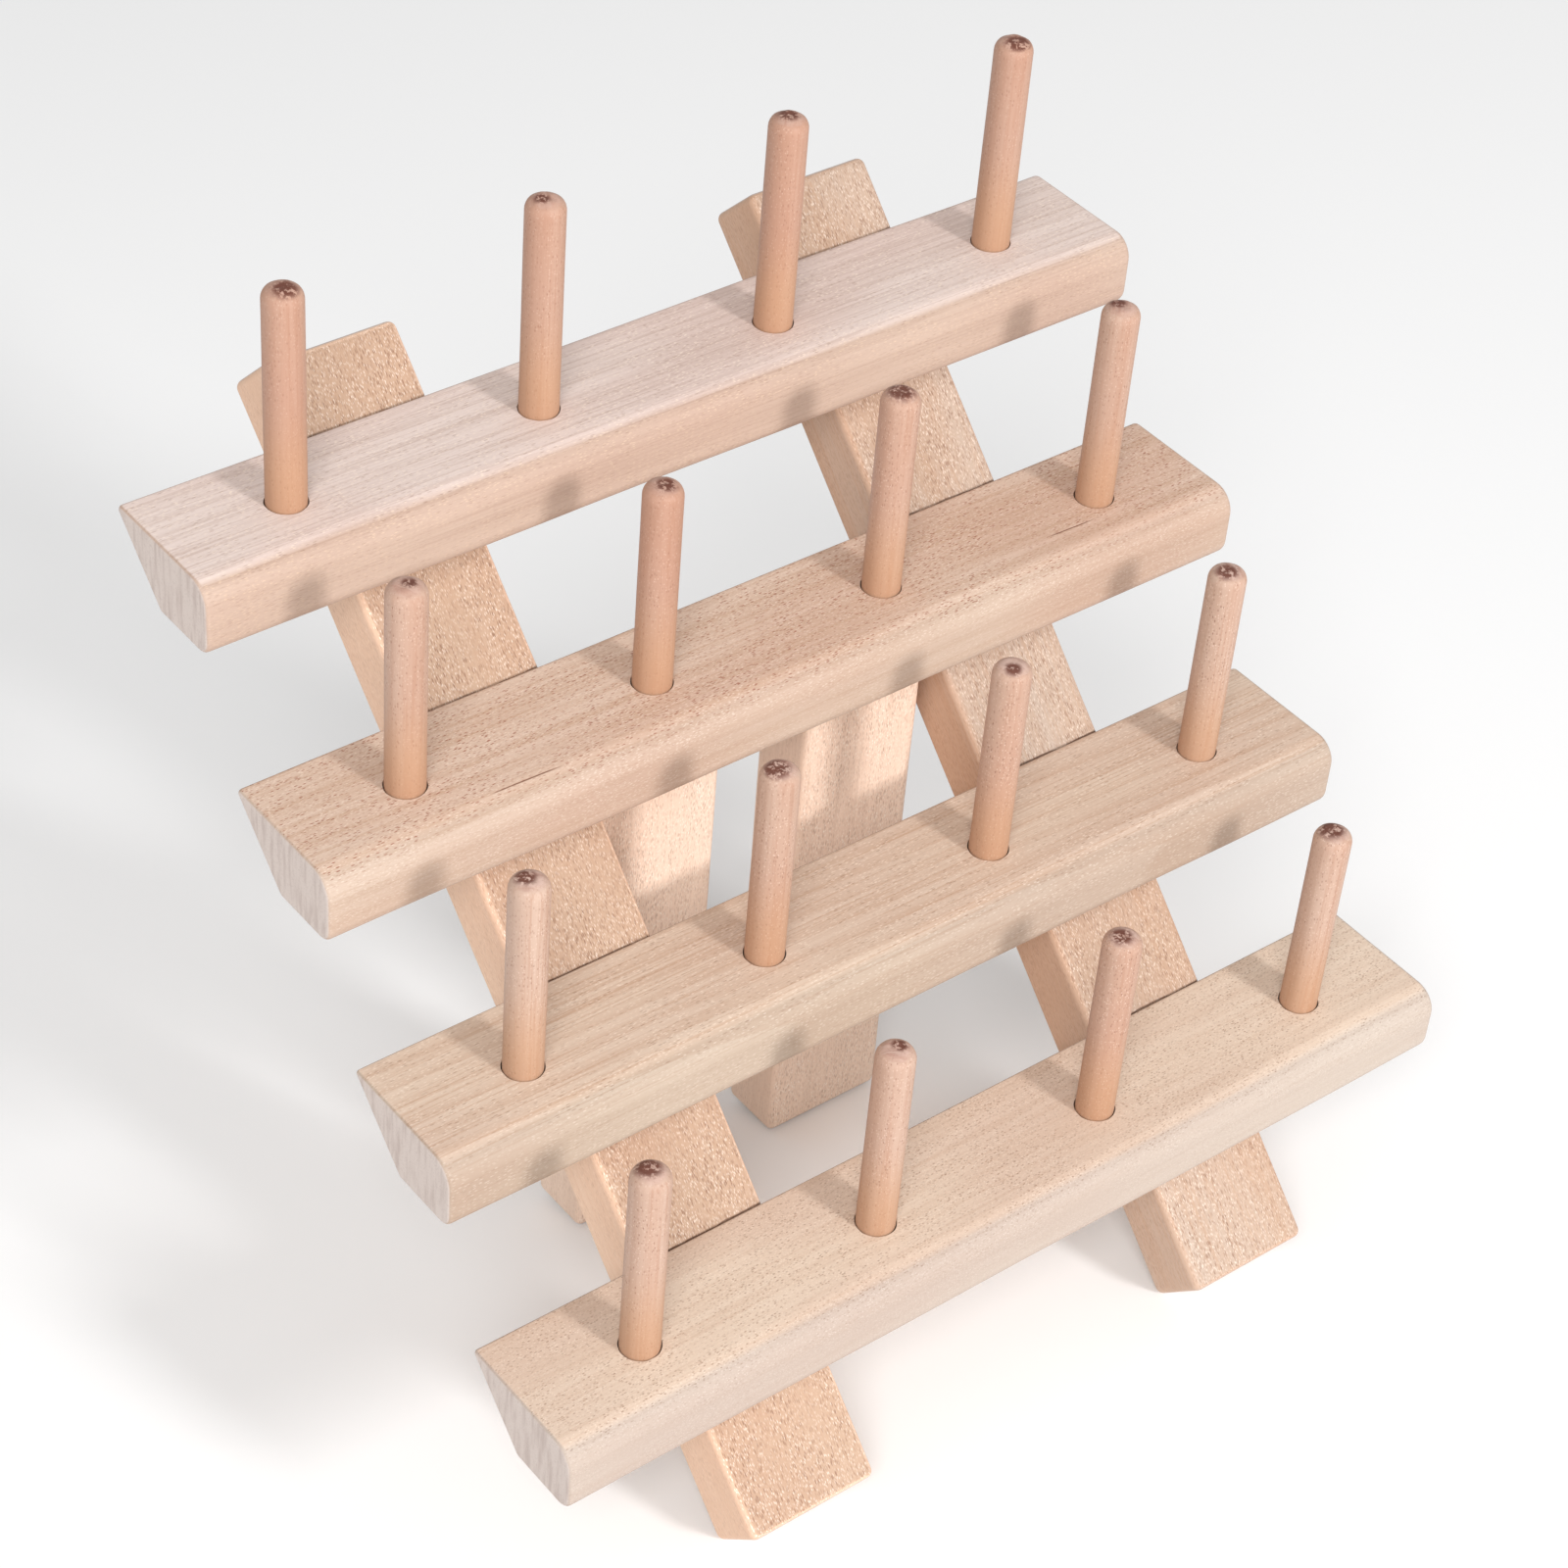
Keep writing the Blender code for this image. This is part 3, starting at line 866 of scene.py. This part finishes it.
def platedSteel():
    material, tree, shader = newMaterial("zincPlatedSteel")
    place = tree.nodes.new("ShaderNodeTexCoord").outputs["Object"]
    tarnish = cloud(tree, place, (260, 260, 260), detail=4, roughness=0.6)
    scratches = cloud(tree, place, (3000, 300, 900), detail=2)
    colour = blendColour(tree, fade(tree, tarnish, 0.35, 0.7), steelLook["bright"],
                         steelLook["dull"])
    tree.links.new(colour, shader.inputs["Base Color"])
    tree.links.new(fade(tree, scratches, 0.3, 0.8, 0.28, 0.46), shader.inputs["Roughness"])
    shader.inputs["Metallic"].default_value = 1
    roughen(tree, shader, scratches, steelLook["bump"], steelLook["bumpDepth"])
    return material


def screwAxes(rail, side):
    # Square to the rail's bevel, Z towards the head; the middle of the CAD screw gives X
    down = rackBack * railShape["back"] - stileUp * railShape["screwDown"]
    spot = railSeat(rail) + down
    spot.x = middleAcross(f"rail_screw_{rail}_{side}")
    return axesAt(spot, -stileUp, stileBack)


def screwHole():
    slack = screwShape["slack"]
    shank = railShape["screwHole"]
    head = screwShape["railHead"] + slack
    top = screwShape["railTop"]
    outline = [(0, -railShape["screwDepth"]), (shank / 3, -railShape["screwDepth"]),
               (shank, screwShape["point"] - screwShape["railBite"]),
               (shank, top - (head - shank)), (head, top), (head, top + cutPast),
               (0, top + cutPast)]
    return turnedShape("cutter", outline, 32)


def threadedOutline(shank, tipAt, threadTop, top, head):
    # Many short steps where the thread is cut, then the head's own points
    points = [(0, tipAt), (shank / 3, tipAt)]
    steps = int((threadTop - tipAt) / screwShape["pitch"] * 8)
    for step in range(1, steps):
        height = tipAt + (threadTop - tipAt) * step / steps
        grown = min(1, 1 / 3 + (height - tipAt) / screwShape["point"] * 2 / 3)
        points.append((shank * grown, height))
    points += [(shank, threadTop)] + head + [(0, top)]
    return points


def threadCut(shank, threadTop):
    def cut(angle, radius, height):
        if height >= threadTop or radius > shank * 1.01:
            return 0
        turn = (height / screwShape["pitch"] - angle / (2 * pi)) % 1
        crest = max(0, 1 - abs(turn - 0.5) * 3.2)
        return -screwShape["threadDepth"] * (1 - crest) * min(1, radius / shank)
    return cut


def crossRecess(top, size, deep):
    # Two crossed tapering slots, as a cutter for the head
    shape = bmesh.new()
    arm, waist = size, size * 0.28
    upper = [(arm, waist), (waist, waist), (waist, arm), (-waist, arm), (-waist, waist),
             (-arm, waist), (-arm, -waist), (-waist, -waist), (-waist, -arm), (waist, -arm),
             (waist, -waist), (arm, -waist)]
    rings = [[shape.verts.new((x * grow, y * grow, height)) for x, y in upper]
             for grow, height in ((0.45, top - deep), (1, top), (1, top + 0.001))]
    for ring, following in zip(rings, rings[1:]):
        for index in range(len(upper)):
            after = (index + 1) % len(upper)
            shape.faces.new((ring[index], ring[after], following[after], following[index]))
    shape.faces.new(reversed(rings[0]))
    shape.faces.new(rings[-1])
    return meshFrom("cutter", shape)


def railScrewMesh():
    shank, head, top = screwShape["railShank"], screwShape["railHead"], screwShape["railTop"]
    threadTop = screwShape["railThreadTop"]
    cone = [(shank, top - (head - shank) - 0.0003), (head - 0.0001, top - 0.0003),
            (head, top - 0.0002), (head - 0.0002, top), (head * 0.5, top)]
    outline = threadedOutline(shank, -screwShape["railBite"], threadTop, top, cone)
    return turnedShape("railScrew", outline, screwShape["sides"], threadCut(shank, threadTop))


def pivotScrewMesh():
    shank, head, seat = screwShape["pivotShank"], screwShape["pivotHead"], screwShape["pivotSeat"]
    height = screwShape["pivotHeadHeight"]
    dome = [(shank, seat), (head - 0.0002, seat), (head, seat + 0.0002),
            (head, seat + height * 0.35)]
    dome += [(head * cos(radians(turn)) ** 0.6, seat + height * (0.35 + 0.65 * sin(radians(turn))))
             for turn in (15, 30, 45, 60, 75)]
    threadTop = screwShape["pivotThreadTop"]
    outline = threadedOutline(shank, -screwShape["pivotBite"], threadTop, seat + height, dome)
    return turnedShape("pivotScrew", outline, screwShape["sides"], threadCut(shank, threadTop))


def washerMesh(low):
    inner, outer = screwShape["washerInner"], screwShape["washerOuter"]
    high = low + screwShape["washerThickness"]
    edge = 0.00015
    outline = [(inner, low), (outer - edge, low), (outer, low + edge), (outer, high - edge),
               (outer - edge, high), (inner + edge, high), (inner, high - edge)]
    return turnedShape("washer", outline, 48)


def pivotAxes(side):
    # Z runs inward from the stile's inner face, through spacer, leg and washer
    sign = 1 if side == "right" else -1
    low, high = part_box(f"stile_{side}")
    spot = pivotPlace(side)
    spot.x = low.x if side == "right" else high.x
    turned = Matrix((rackBack * sign, rackUp, Vector((-sign, 0, 0)))).transposed().to_4x4()
    return Matrix.Translation(spot) @ turned


def makeFasteners():
    steel = platedSteel()
    slack, thick = screwShape["slack"], screwShape["washerThickness"]
    for side in ("left", "right"):
        for rail in railNumbers:
            node = f"rail_screw_{rail}_{side}"
            axes = screwAxes(rail, side) @ Matrix.Rotation(rail * 1.1 + len(side), 4, "Z")
            screw = putPiece(node + "_countersunk", railScrewMesh(), axes)
            recess = crossRecess(screwShape["railTop"], *screwShape["railRecess"])
            drillOut(screw, [putPiece("cutter", recess, axes)], screwShape["smoothBelow"])
            dress(screw, node, steel)
        axes = pivotAxes(side)
        screw = putPiece(f"pivot_screw_{side}_panhead", pivotScrewMesh(), axes)
        headTop = screwShape["pivotSeat"] + screwShape["pivotHeadHeight"]
        recess = crossRecess(headTop, *screwShape["pivotRecess"])
        drillOut(screw, [putPiece("cutter", recess, axes)], screwShape["smoothBelow"])
        dress(screw, f"pivot_screw_{side}", steel)
        for kind, low in (("spacer", slack), ("head", screwShape["pivotSeat"] - slack - thick)):
            node = f"{kind}_washer_{side}"
            dress(putPiece(node + "_ring", washerMesh(low), axes), node, steel)


boardShape = {
    "stileThickness": 0.014,
    "stileAbove": 0.0128,
    "stileBelow": 0.2023,
    "edge": 0.0016,
    "endRounds": (0.0015, 0.0015),
    "legReach": 0.1073,
    "legEndRounds": (0.0022, 0.0012),
    "legThickness": 0.0136,
    "bore": 0.0024,
    "boreLength": 0.03,
    "pilot": 0.0023,
    "pilotDepth": 0.0163,
    "holeTurn": 0.07,              # keeps the cutters' corners off the board's own edges
    "wearSeeds": {"stile_left": 4, "stile_right": 5, "leg_left": 8, "leg_right": 9},
}

plankLook = {
    "flecks": 0.8,
    "edgeFlecks": 0.3,
    "fleckShare": 0.95,
    "fleckLength": 0.0013,
    "fleckWidth": 0.0003,
    "fleckSize": 0.5,
    "raysAndGlints": 0.85,
    "edgeRaysAndGlints": 0.15,
    "edgeStreaks": 1.0,
    "rayAndGlint": screenColour(238, 222, 207),
    "fleck": screenColour(132, 94, 72),
    "rings": 0.06,
    "streaks": 0.34,
    "lines": 0.35,
    "pale": screenColour(193, 166, 146),
    "pink": screenColour(188, 159, 138),
}
# The stiles' narrow sides are painted lighter, as painted light standing in for lamp light from the side
stileLooks = {
    "left": {**plankLook, "seed": 6.0, "pale": screenColour(190, 160, 137),
             "pink": screenColour(185, 152, 129), "narrowFaceLightAndShade": (1.5, 1.55, 1.6, 1)},
    "right": {**plankLook, "seed": 7.0, "flecks": 0.75, "pale": screenColour(190, 169, 153),
              "narrowFaceLightAndShade": (1.12, 1.06, 1.02, 1)},
}
# The joint line's colour: partly old glue, partly painted shade in the narrow gap
glueAndGapShade = {
    "colour": screenColour(92, 56, 36),
    "width": 0.0009,
    "raggedness": 0.0016,
    "strength": 0.85,
}
# The legs' paler colours are painted light, standing in for light they miss behind the rails; the other entries
# tune their grain
legPaintedLightAndGrain = {
    "flecks": 0.6,
    "raysAndGlints": 0.9,
    "rayAndGlint": screenColour(253, 243, 232),
    "pale": screenColour(240, 214, 194),
    "pink": screenColour(236, 207, 186),
    "fleck": screenColour(168, 124, 98),
    "rings": 0.02,
    "lines": 0.1,
    "streaks": 0.12,
}
legLooks = {
    "left": {**plankLook, **legPaintedLightAndGrain, "seed": 8.0},
    "right": {**plankLook, **legPaintedLightAndGrain, "seed": 9.0},
}


def plankCorners(seed, halfWidth, front, back):
    def cornersAt(share):
        def worn(offset):
            return boardShape["edge"] * (1 + waver(seed + offset, share, 6, 0.18))
        return [(-halfWidth, front, worn(0.1)), (halfWidth, front, worn(0.3)),
                (halfWidth, back, worn(0.5)), (-halfWidth, back, worn(0.7))]
    return cornersAt


def stileMaterial(name, look):
    # Beech with a thin, broken dark line where each rail's back edge meets it: partly old glue, partly painted
    # shade in the gap
    look = {**beechLook, **look}
    material, tree, shader = newMaterial(name)
    colour, height, (along, _, through) = beechColour(tree, look, stileUp, stileBack)
    tops = [railSeat(rail) for rail in railNumbers]
    broken = cloud(tree, grainPoint(tree), grainScales["glueAndShadeBreaks"], (look["seed"], 0, 0), detail=4)
    lines = None
    ragged = calc(tree, "ADD", along, calc(tree, "MULTIPLY", broken, glueAndGapShade["raggedness"]))
    for top, edgeRound in zip(tops, railShape["backRounds"]):
        level = (top - tops[0]).dot(stileUp) - edgeRound * 1.5 + glueAndGapShade["width"]
        line = calc(tree, "MULTIPLY", fade(tree, ragged, level, level + 0.0002, 1, 0),
                    fade(tree, along, level - 0.004, level - 0.003))
        lines = line if lines is None else calc(tree, "MAXIMUM", lines, line)
    lines = calc(tree, "MULTIPLY", lines, fade(tree, broken, 0.3, 0.6, 0.5, 1))
    lines = calc(tree, "MULTIPLY", lines, fade(tree, through, 0.0005, 0.001, 1, 0))
    # Darkens the joint line: glue and painted gap shade
    colour = blendColour(tree, calc(tree, "MULTIPLY", lines, glueAndGapShade["strength"]), colour,
                         glueAndGapShade["colour"])
    finishWood(tree, shader, look, colour, height)
    return material


def makeStiles():
    for side in ("left", "right"):
        node = f"stile_{side}"
        low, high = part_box(node)
        # The stile's own axes start at its front face, level with the top rail's back edge
        origin = railSeat(1) + rackBack * railShape["back"] + stileBack * screwShape["slack"]
        origin.x = (low.x + high.x) / 2
        corners = plankCorners(boardShape["wearSeeds"][node], (high.x - low.x) / 2, 0,
                               boardShape["stileThickness"])
        mesh = board(node, "Z", corners, lambda point: -boardShape["stileBelow"],
                     lambda point: boardShape["stileAbove"], boardShape["endRounds"])
        piece = putPiece(node + "_board", mesh, axesAt(origin, stileBack, stileUp))
        turn = Matrix.Rotation(boardShape["holeTurn"], 4, "Z")
        cutters = [putPiece("cutter", screwHole(), screwAxes(rail, side) @ turn)
                   for rail in railNumbers]
        pilot = drillBit(boardShape["pilot"], -boardShape["pilotDepth"], cutPast, 36)
        cutters.append(putPiece("cutter", pilot, pivotAxes(side)))
        drillOut(piece, cutters)
        dress(piece, node, stileMaterial(node + "_beech", stileLooks[side]), "Z")


def makeLegs():
    half = boardShape["legThickness"] / 2

    def mitre(point):
        # The open leg's upper end lies along the bevel of the rail that it bears on
        return (half + point.y * cos(lean)) / sin(lean)

    for side in ("left", "right"):
        node = f"leg_{side}"
        low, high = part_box(node)
        origin = pivotPlace(side)
        origin.x = (low.x + high.x) / 2
        corners = plankCorners(boardShape["wearSeeds"][node], (high.x - low.x) / 2, -half, half)
        mesh = board(node, "Z", corners, lambda point: -boardShape["legReach"], mitre,
                     boardShape["legEndRounds"])
        piece = putPiece(node + "_board", mesh, axesAt(origin, rackBack, rackUp))
        bore = drillBit(boardShape["bore"], -cutPast, boardShape["boreLength"], 32)
        drillOut(piece, [putPiece("cutter", bore, pivotAxes(side))])
        dress(piece, node, beech(node + "_beech", rackUp, rackBack, **legLooks[side]), "Z")


makePegs()
print("pegs turned")
makeRails()
print("rails cut and drilled")
makeFasteners()
print("screws and washers fitted")
makeStiles()
makeLegs()
print("stiles and legs fitted")
